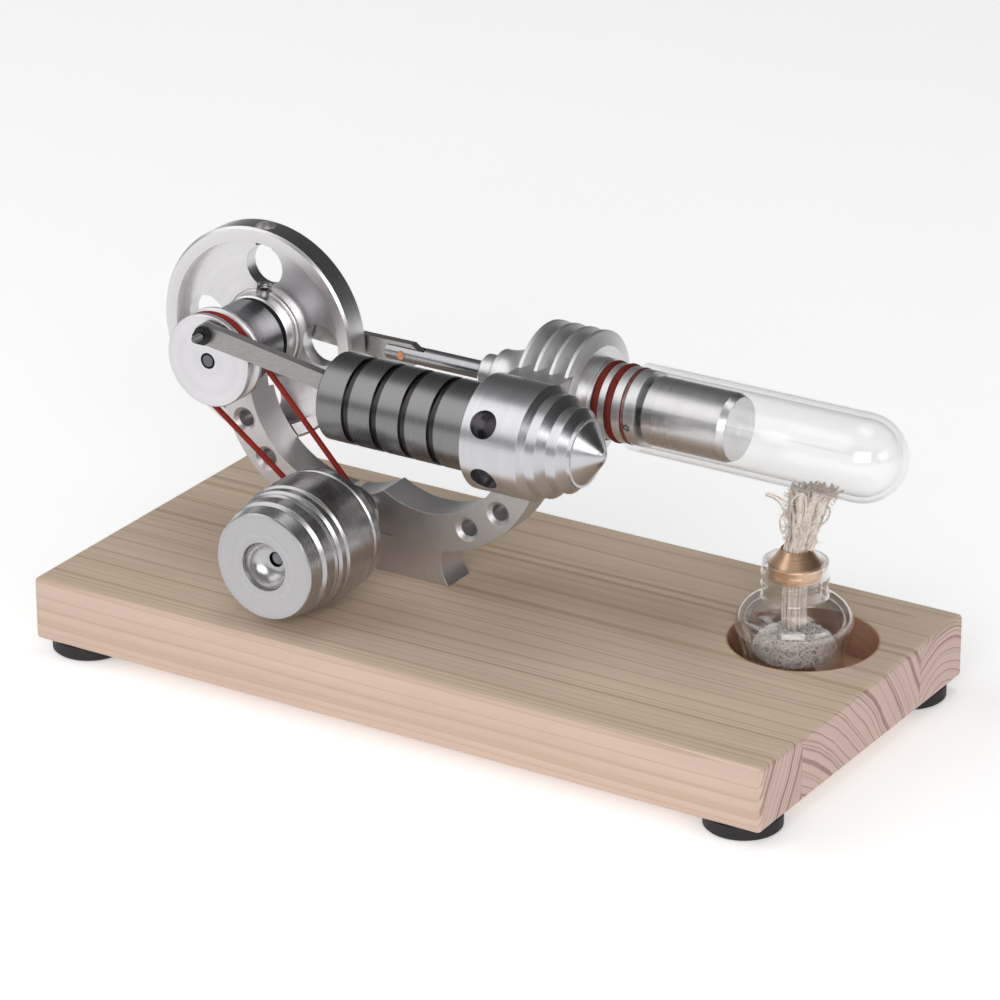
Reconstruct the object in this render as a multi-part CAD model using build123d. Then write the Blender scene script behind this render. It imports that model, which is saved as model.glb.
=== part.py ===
from build123d import *
import os
from math import acos, atan2, cos, degrees, hypot, radians, sin, sqrt

# Twin-cylinder Stirling engine on a wooden board. Millimetres, +Z up.
# The origin is under the middle of the board, where the feet rest.
# Inside this file a place is given from the board's left front top corner,
# with X to the right, Y to the back and Z up: at() moves it to the model frame.

# ---- board ----
board_length = 200.0
board_width = 98.4
board_thickness = 16.1
board_rounding = 1.2
foot_height = 3.5
foot_radius = 9.2
foot_inset = 9.4
board_top = foot_height + board_thickness
recess_x = 174.6
recess_radius = 17.7
recess_depth = 10.0

# ---- lines that the engine is built on ----
axis_z = 49.2              # crankshaft, both cylinders and both pistons
power_y = 34.84            # line of the power cylinder
hot_y = 65.8               # line of the displacer and the glass tube
crank_x = 27.1
crank_throw = 8.0
power_crank_angle = 82.0   # from +X towards +Z, seen from the front
hot_crank_angle = power_crank_angle + 90.0
running_gap = 0.03         # radial, shaft in bearing
body_gap = 0.15            # between parts that pass each other

# ---- frame plate ----
plate_front = 47.5
plate_back = 56.9
plate_middle = (plate_front + plate_back) / 2
left_scallop = (56.7, 42.7, 25.3, 34.0)    # centre x, centre z, inner and outer radius
right_scallop = (81.4, 40.9, 23.0, 32.4)
foot_left = 49.9
foot_right = 88.1
foot_waist = 2.25          # how far the foot's flared ends draw in
foot_flare = 9.1           # radius of those ends
foot_flare_z = 6.0
arm_top = 44.0             # where the right arm runs into the block
plate_foot_height = 9.6
block_left = 104.4
block_right = 118.5
block_bottom = 36.0
block_corner = 5.2
block_top = 58.2
light_holes = [(29.6, 30.8), (35.9, 21.9), (102.0, 22.15), (93.3, 16.2)]
light_hole_radius = 2.1
light_hole_mouth = 3.1
hub_relief = 13.0          # radius of the recess behind the crank bearing
port_radius = 1.5
port_x = 112.0
frame_screw_x = (60.9, 76.9)
frame_screw_radius = 2.0
frame_screw_reach = 6.5    # above the board
screw_head_radius = 3.5
screw_head_height = 2.5
screw_sink = 0.6           # head below the board's underside

# ---- crank bearing and shaft ----
housing_radius = 9.7
housing_front = 43.0
housing_back = 55.0
shaft_radius = 1.5
bearing_radius = 5.0
bearing_width = 4.0
spacer_radius = 9.0
hub_front = 56.3

# ---- crank pulley ----
pulley_front = 36.45
disc_back = 38.1
disc_radius = 11.7
groove_back = 41.4
flange_back = 42.6
belt_y = 39.9
belt_radius = 0.7
crank_belt_r = 10.8        # radius of the belt's centre line on this pulley
drum_belt_r = 6.1

# ---- flywheel ----
rim_front = 57.2
wheel_back = 64.0
wheel_radius = 27.3
rim_inner = 23.7
rim_bevel = 0.6
web_front = 60.3
hub_radius = 10.0
hub_fillet = 0.8
web_hole_radius = 5.2
web_hole_circle = 16.7
web_hole_angle = 88.0
screw_bore_radius = 2.1
rim_bore_radius = 2.6
screw_bore_y = 60.5

# ---- power cylinder and piston ----
cylinder_left = 66.0
cylinder_right = 117.5
cylinder_radius = 10.6
cylinder_bore = 8.04
cylinder_grooves = (74.3, 82.15, 90.0, 97.85)
cylinder_groove = (1.9, 0.6)               # width, depth
piston_radius = 8.0
piston_skirt = 4.0         # from the wrist pin to the open end
piston_crown = 12.0        # from the wrist pin to the closed end
power_rod_length = 52.0
power_rod_thickness = 2.4

# ---- power cylinder head ----
head_left = 107.6
head_radius = 13.75
head_hole_x = 113.4
head_hole_radius = 3.4
head_hole_turns = (30, 150, 210, 330)        # about the cylinder's axis, from straight down
head_tip = 139.0

# ---- heat sink ----
neck_left = 87.4
fin_crests = (104.9, 109.1, 113.3, 117.5)
fin_radius = 15.9
fin_crest = 0.45           # half the width of a crest
fin_root = 12.4            # radius at the bottom of the grooves between crests
collar_step = 9.7
collar_step_right = 121.0
collar_radius = 9.2
collar_right = 130.6
ring_places = (122.6, 126.3)
ring_cord = 1.0
rim_ring_x = 130.05
rim_ring_cord = 0.5
plug_radius = 9.16
plug_right = 133.4

# ---- glass tube and displacer ----
tube_radius = 10.6
tube_bore = 9.2
tube_tip = 199.65
displacer_radius = 8.3
displacer_left = 134.1
displacer_right = 156.6
rod_radius = 2.25
rod_left = 60.0
fork_pin_x = 64.6
fork_slot = 2.7
fork_depth = 10.6
hot_rod_thickness = 2.2
hot_rod_tip = 69.2
hot_rod_half = 2.9         # half its height at the fork

# ---- drum ----
drum_x = 64.5
drum_z = 16.1
drum_front = 4.2
drum_back = 36.0
drum_face_radius = 13.0
drum_pulley_radius = 7.1
bowl_mouth = 6.05          # radius of the bowl in the drum's front face
bowl_end = 9.4
axle_hole = 1.9            # radius, at the bottom of the bowl
axle_front = 10.0
axle_back = 54.0
drum_bearing_radius = 3.5
drum_bearing_fronts = (10.6, 31.6)

# ---- spirit lamp ----
lamp_x = 172.2
lamp_wall = 1.25
lamp_bottom = -recess_depth + 0.12         # stands a hair off the recess's floor
lamp_top = 19.9
neck_radius = 7.6
lip_radius = 7.9
neck_foot = 10.1
thread_rounds = (12.8, 15.8)
thread_bead = 0.55
wick_radius = 3.2
wick_foot = 3.0
wick_top = 38.1
holder_foot = 15.6
holder_shoulder = 18.8
holder_top = 22.7


def at(x, y, z):
    """Move from the board's corner frame to the model frame."""
    return Pos(x - board_length / 2, y - board_width / 2, z + board_top)


def rod_x(radius, x0, x1, y, z):
    return at((x0 + x1) / 2, y, z) * Rot(0, 90, 0) * Cylinder(radius, x1 - x0)


def rod_y(radius, x, y0, y1, z):
    return at(x, (y0 + y1) / 2, z) * Rot(90, 0, 0) * Cylinder(radius, y1 - y0)


def rod_z(radius, x, y, z0, z1):
    return at(x, y, (z0 + z1) / 2) * Cylinder(radius, z1 - z0)


def profile(curves):
    """Face inside a closed run of curves, or inside a list of corners."""
    if isinstance(curves[0], tuple):
        curves = [Polyline(*curves, close=True)]
    return make_face([edge for curve in curves for edge in curve.edges()])


def turned_x(curves, y, z):
    """Solid turned about a line along X: points are (x, radius)."""
    return at(0, y, z) * revolve(profile(curves), Axis.X)


def turned_y(curves, x, z):
    """Solid turned about a line along Y: points are (y, radius)."""
    return at(x, 0, z) * Rot(0, 0, 90) * revolve(profile(curves), Axis.X)


def turned_z(curves, x, y):
    """Solid turned about a line along Z: points are (radius, z)."""
    return at(x, y, 0) * revolve(Plane.XZ * profile(curves), Axis.Z)


def slab(sketch, front, back):
    """Plate with an outline in X and Z, from one Y to another."""
    return at(0, 0, 0) * extrude(Plane.XZ.offset(-front) * sketch, front - back)


def disc(x, z, radius):
    return Pos(x, z) * Circle(radius)


def area(x0, x1, z0, z1):
    return Pos((x0 + x1) / 2, (z0 + z1) / 2) * Rectangle(x1 - x0, z1 - z0)


def crank_place(angle):
    """X and Z of a crank pin."""
    turn = radians(angle)
    return crank_x + crank_throw * cos(turn), axis_z + crank_throw * sin(turn)


def bar_outline(x0, z0, half0, x1, z1, half1):
    """Outline of a tapering bar with two round ends."""
    angle = degrees(atan2(z1 - z0, x1 - x0))
    length = hypot(x1 - x0, z1 - z0)
    sides = Polygon((0, half0), (0, -half0), (length, -half1), (length, half1), align=None)
    return Pos(x0, z0) * Rot(0, 0, angle) * (sides + Circle(half0) + disc(length, 0, half1))


power_pin_x, power_pin_z = crank_place(power_crank_angle)
hot_pin_x, hot_pin_z = crank_place(hot_crank_angle)
wrist_x = power_pin_x + sqrt(power_rod_length ** 2 - (power_pin_z - axis_z) ** 2)
parts = {}


# ---- wooden board, rubber feet ----
def make_board():
    blank = Box(board_length, board_width, board_thickness)
    blank = fillet(blank.edges(), board_rounding)
    blank = at(board_length / 2, board_width / 2, -board_thickness / 2) * blank
    blank -= rod_z(recess_radius, recess_x, hot_y, -recess_depth, 1)
    sink_top = -board_thickness + screw_sink + screw_head_height + 0.2
    for x in frame_screw_x:
        blank -= rod_z(frame_screw_radius + 0.2, x, plate_middle, -board_thickness - 1, 1)
        blank -= rod_z(screw_head_radius + 0.4, x, plate_middle, -board_thickness - 1, sink_top)
    return blank


def make_feet():
    foot = Cylinder(foot_radius, foot_height)
    foot = chamfer(foot.edges().group_by(Axis.Z)[0], 0.5)
    middle = -board_thickness - foot_height / 2
    places = [
        (x, y)
        for x in (foot_inset, board_length - foot_inset)
        for y in (foot_inset, board_width - foot_inset)
    ]
    return Compound(children=[at(x, y, middle) * foot for x, y in places])


parts["base_board"] = make_board()
parts["foot_pads"] = make_feet()


# ---- frame plate: two round-bottomed cradles on one foot ----
def make_frame_plate():
    lx, lz, l_inner, l_outer = left_scallop
    rx, rz, r_inner, r_outer = right_scallop
    left = disc(lx, lz, l_outer) & area(0, lx, 0, axis_z)
    right = disc(rx, rz, r_outer) & area(lx, 2 * rx, 0, arm_top)
    foot = area(foot_left, foot_right, 0, plate_foot_height)
    foot -= disc(foot_right - foot_waist + foot_flare, foot_flare_z, foot_flare)
    foot -= disc(foot_left + foot_waist - foot_flare, foot_flare_z, foot_flare)
    block = Polygon(
        (block_left, arm_top),
        (block_right - block_corner, block_bottom),
        (block_right, block_bottom + block_corner),
        (block_right, block_top),
        (block_left, block_top),
        align=None,
    )
    outline = left + right - disc(lx, lz, l_inner) - disc(rx, rz, r_inner)
    outline = outline + foot + block - disc(crank_x, axis_z, housing_radius)
    plate = slab(outline, plate_front, plate_back)
    # Round relief that keeps the arm's end clear of the flywheel's hub.
    plate -= rod_y(hub_relief, crank_x, housing_back, plate_back + 1, axis_z)
    for x, z in light_holes:
        plate -= rod_y(light_hole_radius, x, plate_front - 1, plate_back + 1, z)
        sink = [
            (plate_front - 0.1, 0),
            (plate_front - 0.1, light_hole_mouth + 0.1),
            (plate_front + 1.0, light_hole_radius),
            (plate_front + 1.0, 0),
        ]
        plate -= turned_y(sink, x, z)
    plate -= rod_y(port_radius, port_x, plate_front - 1, plate_back + 1, axis_z)
    plate -= rod_y(shaft_radius, drum_x, plate_front - 1, axle_back, drum_z)
    for x in frame_screw_x:
        plate -= rod_z(frame_screw_radius, x, plate_middle, -1, frame_screw_reach)
    return plate


def make_frame_screws():
    bottom = -board_thickness + screw_sink
    under_head = bottom + screw_head_height
    screws = []
    for x in frame_screw_x:
        screw = rod_z(screw_head_radius, x, plate_middle, bottom, under_head)
        screw += rod_z(frame_screw_radius, x, plate_middle, under_head, frame_screw_reach)
        screw -= at(x, plate_middle, bottom) * Box(5.0, 0.9, 2.0)
        screws.append(screw)
    return Compound(children=screws)


parts["frame_plate"] = make_frame_plate()
parts["frame_screws"] = make_frame_screws()


# ---- crankshaft and its bearing ----
def make_housing():
    outline = [
        (housing_front, shaft_radius + 2.0),
        (housing_front, housing_radius - 0.4),
        (housing_front + 0.4, housing_radius),
        (housing_back - 0.4, housing_radius),
        (housing_back, housing_radius - 0.4),
        (housing_back, shaft_radius + 2.0),
    ]
    housing = turned_y(outline, crank_x, axis_z)
    housing -= rod_y(bearing_radius, crank_x, housing_front - 1, housing_front + bearing_width, axis_z)
    housing -= rod_y(bearing_radius, crank_x, housing_back - bearing_width, housing_back + 1, axis_z)
    return housing


def ball_bearing(x, front, z, outer):
    """Shielded ball bearing with its races marked by a shallow ring."""
    inner = shaft_radius + running_gap
    middle = (inner + outer) / 2
    back = front + bearing_width
    outline = [
        (front, inner),
        (front, inner + 0.8),
        (front + 0.25, inner + 0.8),
        (front + 0.25, middle + 0.7),
        (front, middle + 0.7),
        (front, outer),
        (back, outer),
        (back, middle + 0.7),
        (back - 0.25, middle + 0.7),
        (back - 0.25, inner + 0.8),
        (back, inner + 0.8),
        (back, inner),
    ]
    return turned_y(outline, x, z)


def make_crank_bearings():
    fronts = (housing_front, housing_back - bearing_width)
    return Compound(children=[ball_bearing(crank_x, y, axis_z, bearing_radius) for y in fronts])


def make_crank_pulley():
    groove_floor = crank_belt_r - belt_radius - 0.1
    outline = [
        (pulley_front, shaft_radius),
        (pulley_front, disc_radius - 0.25),
        (pulley_front + 0.25, disc_radius),
        (disc_back - 0.2, disc_radius),
        (disc_back, disc_radius - 0.2),
        (belt_y - 0.7, groove_floor),
        (belt_y + 0.7, groove_floor),
        (groove_back, disc_radius - 0.1),
        (groove_back + 0.2, disc_radius + 0.1),
        (flange_back - 0.3, disc_radius + 0.1),
        (flange_back, disc_radius - 0.2),
        (flange_back, 3.0),
        (housing_front - body_gap, 3.0),
        (housing_front - body_gap, shaft_radius),
    ]
    pulley = turned_y(outline, crank_x, axis_z)
    # A small counterbore leaves a dark ring round the shaft's end.
    return pulley - rod_y(shaft_radius + 0.5, crank_x, pulley_front - 1, pulley_front + 0.8, axis_z)


def make_flywheel():
    curves = [
        Polyline(
            (web_front, hub_radius + hub_fillet),
            (web_front, rim_inner),
            (rim_front, rim_inner),
            (rim_front, wheel_radius - rim_bevel),
            (rim_front + rim_bevel, wheel_radius),
            (wheel_back - 0.4, wheel_radius),
            (wheel_back, wheel_radius - 0.4),
            (wheel_back, shaft_radius),
            (hub_front, shaft_radius),
            (hub_front, hub_radius - 0.4),
            (hub_front + 0.4, hub_radius),
            (web_front - hub_fillet, hub_radius),
        ),
        RadiusArc(
            (web_front - hub_fillet, hub_radius),
            (web_front, hub_radius + hub_fillet),
            hub_fillet,
        ),
    ]
    wheel = turned_y(curves, crank_x, axis_z)
    for quarter in range(4):
        turn = radians(web_hole_angle + 90 * quarter)
        x = crank_x + web_hole_circle * cos(turn)
        z = axis_z + web_hole_circle * sin(turn)
        wheel -= rod_y(web_hole_radius, x, web_front - 1, wheel_back + 1, z)
    wheel -= screw_axis(screw_bore_radius, shaft_radius, rim_inner - 1)
    # The hole in the rim lets a key through to the set screw.
    return wheel - screw_axis(rim_bore_radius, rim_inner - 2, wheel_radius + 2)


def screw_axis(radius, start, end):
    """Rod that stands on the crank axis, through the flywheel's rim and hub."""
    tilt = Rot(0, 90 - web_hole_angle, 0)
    return at(crank_x, screw_bore_y, axis_z) * tilt * Pos(0, 0, (start + end) / 2) * Cylinder(radius, end - start)


def make_flywheel_set_screw():
    """Socket set screw that stands a little proud of the hub."""
    top = hub_radius + 0.7
    screw = screw_axis(screw_bore_radius - 0.02, shaft_radius + 0.1, top - 0.3)
    screw += screw_axis(screw_bore_radius - 0.3, shaft_radius + 0.1, top)
    return screw - screw_axis(1.1, top - 2.2, top + 1)


parts["crank_bearing_housing"] = make_housing()
parts["crank_bearings"] = make_crank_bearings()
parts["crankshaft"] = rod_y(shaft_radius, crank_x, pulley_front, wheel_back, axis_z)
parts["crank_pulley"] = make_crank_pulley()
parts["crank_spacer"] = turned_y(
    [
        (housing_back + body_gap, shaft_radius),
        (housing_back + body_gap, spacer_radius),
        (hub_front, spacer_radius),
        (hub_front, shaft_radius),
    ],
    crank_x,
    axis_z,
)
parts["flywheel"] = make_flywheel()
parts["flywheel_set_screw"] = make_flywheel_set_screw()


# ---- power cylinder, head, piston and connecting rod ----
def make_power_cylinder():
    cylinder = turned_x(
        [
            (cylinder_left, cylinder_bore + 0.5),
            (cylinder_left, cylinder_radius - 0.5),
            (cylinder_left + 0.5, cylinder_radius),
            (cylinder_right, cylinder_radius),
            (cylinder_right, cylinder_bore),
            (cylinder_left + 0.5, cylinder_bore),
        ],
        power_y,
        axis_z,
    )
    width, depth = cylinder_groove
    for x in cylinder_grooves:
        ring = rod_x(cylinder_radius + 1, x - width / 2, x + width / 2, power_y, axis_z)
        cylinder -= ring - rod_x(cylinder_radius - depth, x - width, x + width, power_y, axis_z)
    return cylinder - rod_y(port_radius, port_x, power_y, power_y + 12, axis_z)


def make_head():
    curves = [
        Polyline(
            (head_left, cylinder_radius),
            (head_left, head_radius - 0.3),
            (head_left + 0.3, head_radius),
            (122.9, head_radius),
            (124.4, 12.2),
            (126.9, 12.2),
            (128.8, 10.1),
            (131.4, 10.1),
            (133.2, 8.1),
            (134.1, 8.1),
            (134.1, 7.5),
            (137.9, 2.5),
        ),
        Polyline(
            (137.9, 2.5),
            (138.6, 1.4),
            (head_tip, 0.0),
            (cylinder_right, 0.0),
            (cylinder_right, cylinder_radius),
            (head_left, cylinder_radius),
        ),
    ]
    head = turned_x(curves, power_y, axis_z)
    for turn in head_hole_turns:
        hole = Pos(0, 0, -(head_radius + cylinder_radius) / 2) * Cylinder(head_hole_radius, 5.0)
        head -= at(head_hole_x, power_y, axis_z) * Rot(turn - 90, 0, 0) * hole
    # The far side is milled flat where it bears on the frame plate.
    head -= at(head_left + 16, plate_front + 5, axis_z) * Box(40, 10, 40)
    return head - rod_y(port_radius, port_x, power_y + cylinder_bore, plate_front + 1, axis_z)


def make_piston():
    left = wrist_x - piston_skirt
    right = wrist_x + piston_crown
    piston = rod_x(piston_radius, left, right, power_y, axis_z)
    piston -= rod_x(5.8, left - 1, wrist_x + 5, power_y, axis_z)
    for x in (right - 2.0, right - 4.5):
        ring = rod_x(piston_radius + 1, x - 0.4, x + 0.4, power_y, axis_z)
        piston -= ring - rod_x(piston_radius - 0.4, x - 1, x + 1, power_y, axis_z)
    return piston - rod_y(1.25, wrist_x, power_y - 7, power_y + 7, axis_z)


def make_power_rod():
    outline = bar_outline(power_pin_x, power_pin_z, 2.6, wrist_x, axis_z, 1.9)
    outline += disc(wrist_x, axis_z, 2.5)
    outline -= disc(power_pin_x, power_pin_z, 1.0)
    outline -= disc(wrist_x, axis_z, 1.3)
    half = power_rod_thickness / 2
    return slab(outline, power_y - half, power_y + half)


def hex_nut(x, z, front, back, across, hole):
    sketch = Pos(x, z) * (RegularPolygon(across / sqrt(3), 6) - Circle(hole))
    return slab(sketch, front, back)


parts["power_cylinder"] = make_power_cylinder()
parts["power_cylinder_head"] = make_head()
parts["power_piston"] = make_piston()
parts["wrist_pin"] = rod_y(1.25, wrist_x, power_y - 7, power_y + 7, axis_z)
parts["power_con_rod"] = make_power_rod()
parts["power_crank_pin"] = rod_y(1.0, power_pin_x, 29.4, pulley_front - body_gap, power_pin_z)
parts["power_crank_nut"] = hex_nut(power_pin_x, power_pin_z, 31.9, 33.5, 4.0, 1.0)


# ---- heat sink, guide bush, seals and glass tube ----
def make_heat_sink():
    bore = rod_radius + running_gap
    flare_left = 93.6
    flare_right = fin_crests[0] - fin_crest
    ridges = []
    for crest in fin_crests:
        ridges.append((crest - fin_crest, fin_radius))
        ridges.append((crest + fin_crest, fin_radius))
        if crest != fin_crests[-1]:
            root = (crest + fin_crests[fin_crests.index(crest) + 1]) / 2
            ridges.append((root - 0.25, fin_root))
            ridges.append((root + 0.25, fin_root))
    end_face = fin_crests[-1] + 1.7
    body = [
        Polyline(
            (plug_right, bore),
            (neck_left, bore),
            (neck_left, 3.9),
            (neck_left + 0.5, 4.4),
            (90.6, 4.4),
            (92.2, 6.4),
            (flare_left, 6.4),
        ),
        ThreePointArc((flare_left, 6.4), (100.4, 9.2), (flare_right, fin_radius)),
        Polyline(
            *ridges,
            (end_face, fin_root),
            (end_face, collar_step),
            (collar_step_right, collar_step),
            (collar_step_right, collar_radius),
            (collar_right, collar_radius),
            (collar_right, plug_radius),
            (plug_right, plug_radius),
            (plug_right, bore),
        ),
    ]
    sink = turned_x(body, hot_y, axis_z)
    for x in ring_places:
        ring = rod_x(collar_radius + 1, x - ring_cord, x + ring_cord, hot_y, axis_z)
        sink -= ring - rod_x(collar_radius + 0.4 - 2 * ring_cord, x - 3, x + 3, hot_y, axis_z)
    ring = rod_x(collar_radius + 1, collar_right - 2 * rim_ring_cord - 0.1, collar_right, hot_y, axis_z)
    sink -= ring - rod_x(collar_radius + 0.1 - 2 * rim_ring_cord, collar_step_right, plug_right + 1, hot_y, axis_z)
    # The near side is milled flat where it bears on the frame plate and its block.
    sink -= at(block_right - 20, plate_back - 10, block_top - 20) * Box(40, 20, 40)
    # Seat of the guide bush, and the gas way from the port to the displacer.
    sink -= rod_x(3.4, neck_left - 1, neck_left + 16, hot_y, axis_z)
    port_end = hot_y - 5.5
    sink -= rod_y(port_radius, port_x, plate_back - 1, port_end, axis_z)
    sink -= rod_x(0.9, port_x, plug_right + 1, port_end, axis_z)
    return sink - rod_y(0.9, plug_right - 2.0, hot_y - 12, hot_y - 5.5, axis_z - 2)


def seal(x, outer, cord):
    return at(0, hot_y, axis_z) * revolve(Pos(x, outer - cord) * Circle(cord), Axis.X)


def make_tube():
    straight = tube_tip - tube_radius
    inner_tip = straight + tube_bore
    k = sqrt(0.5)
    curves = [
        Line((collar_right, tube_bore), (collar_right, tube_radius)),
        Line((collar_right, tube_radius), (straight, tube_radius)),
        ThreePointArc(
            (straight, tube_radius),
            (straight + k * tube_radius, k * tube_radius),
            (tube_tip, 0),
        ),
        Line((tube_tip, 0), (inner_tip, 0)),
        ThreePointArc(
            (inner_tip, 0),
            (straight + k * tube_bore, k * tube_bore),
            (straight, tube_bore),
        ),
        Line((straight, tube_bore), (collar_right, tube_bore)),
    ]
    return turned_x(curves, hot_y, axis_z)


parts["heat_sink"] = make_heat_sink()
parts["guide_bush"] = rod_x(3.4, neck_left, neck_left + 16, hot_y, axis_z) - rod_x(
    rod_radius + running_gap, neck_left - 1, neck_left + 17, hot_y, axis_z
)
parts["tube_seals"] = Compound(
    children=[seal(x, collar_radius + 0.4, ring_cord) for x in ring_places]
    + [seal(rim_ring_x, collar_radius + 0.1, rim_ring_cord)]
)
parts["glass_tube"] = make_tube()


# ---- displacer, its rod, fork pin and connecting rod ----
def make_displacer():
    blind = displacer_left + 6.0
    return turned_x(
        [
            (displacer_left, rod_radius),
            (displacer_left, displacer_radius - 1.0),
            (displacer_left + 0.9, displacer_radius),
            (displacer_right - 1.7, displacer_radius),
            (displacer_right, displacer_radius - 0.7),
            (displacer_right, 0),
            (blind, 0),
            (blind, rod_radius),
        ],
        hot_y,
        axis_z,
    )


def make_displacer_rod():
    rod = rod_x(rod_radius, rod_left, displacer_left + 6.0, hot_y, axis_z)
    rod -= at(rod_left - 1 + (fork_depth + 1) / 2, hot_y, axis_z) * Box(fork_depth + 1, fork_slot, 10)
    return rod - rod_y(1.05, fork_pin_x, hot_y - 4, hot_y + 4, axis_z)


def make_hot_rod():
    half = hot_rod_thickness / 2
    outline = bar_outline(hot_pin_x, hot_pin_z, 1.4, fork_pin_x, axis_z, hot_rod_half)
    outline += disc(hot_pin_x, hot_pin_z, 2.05)
    outline += Polygon(
        (fork_pin_x, axis_z - hot_rod_half),
        (hot_rod_tip - 2.2, axis_z - hot_rod_half),
        (hot_rod_tip, axis_z - 1.4),
        (hot_rod_tip, axis_z + 1.4),
        (hot_rod_tip - 2.2, axis_z + hot_rod_half),
        (fork_pin_x, axis_z + hot_rod_half),
        align=None,
    )
    outline -= disc(hot_pin_x, hot_pin_z, 1.0)
    outline -= disc(fork_pin_x, axis_z, 1.1)
    return slab(outline, hot_y - half, hot_y + half)


def make_hot_crank_pin():
    pin = rod_y(1.0, hot_pin_x, wheel_back + body_gap, hot_y + 2.6, hot_pin_z)
    return pin + rod_y(1.9, hot_pin_x, hot_y + hot_rod_thickness / 2, hot_y + 2.6, hot_pin_z)


parts["displacer"] = make_displacer()
parts["displacer_rod"] = make_displacer_rod()
parts["fork_pin"] = rod_y(1.05, fork_pin_x, hot_y - 2.4, hot_y + 2.4, axis_z)
parts["displacer_con_rod"] = make_hot_rod()
parts["displacer_crank_pin"] = make_hot_crank_pin()


# ---- belt-driven drum ----
def make_drum():
    bore = shaft_radius + running_gap
    bowl_start = drum_front + 1.6
    curves = [
        Polyline(
            (bowl_start, bowl_mouth),
            (drum_front, bowl_mouth),
            (drum_front, drum_face_radius),
            (drum_front + 0.3, drum_face_radius + 0.24),
            (7.8, 13.98),
            (7.8, 13.6),
            (8.6, 13.6),
            (9.4, 14.4),
            (12.6, 14.4),
            (13.3, 14.9),
            (13.3, 14.5),
            (14.2, 14.5),
            (14.9, 15.15),
            (16.6, 15.15),
            (17.2, 15.7),
        ),
        ThreePointArc((17.2, 15.7), (22.3, 15.75), (27.4, 15.6)),
        Polyline(
            (27.4, 15.6),
            (27.8, 14.9),
            (28.6, 14.9),
            (29.0, 15.3),
            (30.9, 15.3),
            (31.1, 15.1),
            (31.1, 4.2),
            (drum_back, 4.2),
            (drum_back, bore),
            (drum_bearing_fronts[0], bore),
            (drum_bearing_fronts[0], axle_hole),
            (bowl_end, axle_hole),
        ),
        ThreePointArc((bowl_end, axle_hole), (8.3, 4.6), (bowl_start, bowl_mouth)),
    ]
    drum = turned_y(curves, drum_x, drum_z)
    for front in drum_bearing_fronts:
        drum -= rod_y(drum_bearing_radius, drum_x, front, front + bearing_width, drum_z)
    return drum


def make_drum_bearings():
    return Compound(
        children=[ball_bearing(drum_x, y, drum_z, drum_bearing_radius) for y in drum_bearing_fronts]
    )


def make_drum_pulley():
    groove_floor = drum_belt_r - belt_radius - 0.1
    outline = [
        (drum_back, shaft_radius + running_gap),
        (drum_back, drum_pulley_radius),
        (disc_back + 0.3, drum_pulley_radius),
        (belt_y - 0.7, groove_floor),
        (belt_y + 0.7, groove_floor),
        (groove_back, drum_pulley_radius),
        (flange_back, drum_pulley_radius),
        (flange_back, 3.0),
        (plate_front - body_gap, 3.0),
        (plate_front - body_gap, shaft_radius + running_gap),
    ]
    return turned_y(outline, drum_x, drum_z)


parts["drum"] = make_drum()
parts["drum_bearings"] = make_drum_bearings()
parts["drum_pulley"] = make_drum_pulley()
parts["drum_axle"] = rod_y(shaft_radius, drum_x, axle_front, axle_back, drum_z)


def make_belt():
    """Round belt in one loop over the crank pulley and the drum pulley."""
    lean = atan2(drum_z - axis_z, drum_x - crank_x)
    spread = acos((crank_belt_r - drum_belt_r) / hypot(drum_x - crank_x, drum_z - axis_z))

    def on(x, z, radius, angle):
        return x + radius * cos(angle), z + radius * sin(angle)

    crank_up = on(crank_x, axis_z, crank_belt_r, lean + spread)
    crank_low = on(crank_x, axis_z, crank_belt_r, lean - spread)
    crank_far = on(crank_x, axis_z, crank_belt_r, lean + radians(180))
    drum_up = on(drum_x, drum_z, drum_belt_r, lean + spread)
    drum_low = on(drum_x, drum_z, drum_belt_r, lean - spread)
    drum_far = on(drum_x, drum_z, drum_belt_r, lean)
    route = [
        Line(crank_up, drum_up),
        ThreePointArc(drum_up, drum_far, drum_low),
        Line(drum_low, crank_low),
        ThreePointArc(crank_low, crank_far, crank_up),
    ]
    path = Plane.XZ.offset(-belt_y) * Wire([edge for curve in route for edge in curve.edges()])
    section = Plane(origin=path @ 0, z_dir=path % 0) * Circle(belt_radius)
    return at(0, 0, 0) * sweep(section, path=path)


parts["drive_belt"] = make_belt()


# ---- spirit lamp ----
def make_bottle():
    waist = (13.4, 0.0)
    inside_waist = (waist[0] - lamp_wall, waist[1])
    neck_bore = neck_radius - lamp_wall
    floor = lamp_bottom + 1.8
    curves = [
        Line((0, lamp_bottom), (9.0, lamp_bottom)),
        ThreePointArc((9.0, lamp_bottom), (11.9, -5.0), waist),
        ThreePointArc(waist, (14.1, 3.4), (neck_radius + 0.3, neck_foot)),
        Polyline(
            (neck_radius + 0.3, neck_foot),
            (neck_radius, neck_foot + 0.6),
            (neck_radius, lamp_top - 1.5),
            (lip_radius, lamp_top - 1.3),
            (lip_radius, lamp_top - 0.3),
            (lip_radius - 0.3, lamp_top),
            (neck_bore, lamp_top),
            (neck_bore, neck_foot - 1.3),
        ),
        ThreePointArc((neck_bore, neck_foot - 1.3), (12.0, 5.6), inside_waist),
        ThreePointArc(inside_waist, (10.6, -5.0), (7.8, floor)),
        Polyline((7.8, floor), (0, floor), (0, lamp_bottom)),
    ]
    bottle = turned_z(curves, lamp_x, hot_y)
    # Two raised rounds of screw thread on the neck.
    for z in thread_rounds:
        ring = revolve(Plane.XZ * Pos(neck_radius, z) * Circle(thread_bead), Axis.Z)
        bottle += at(lamp_x, hot_y, 0) * ring
    return bottle


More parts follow.
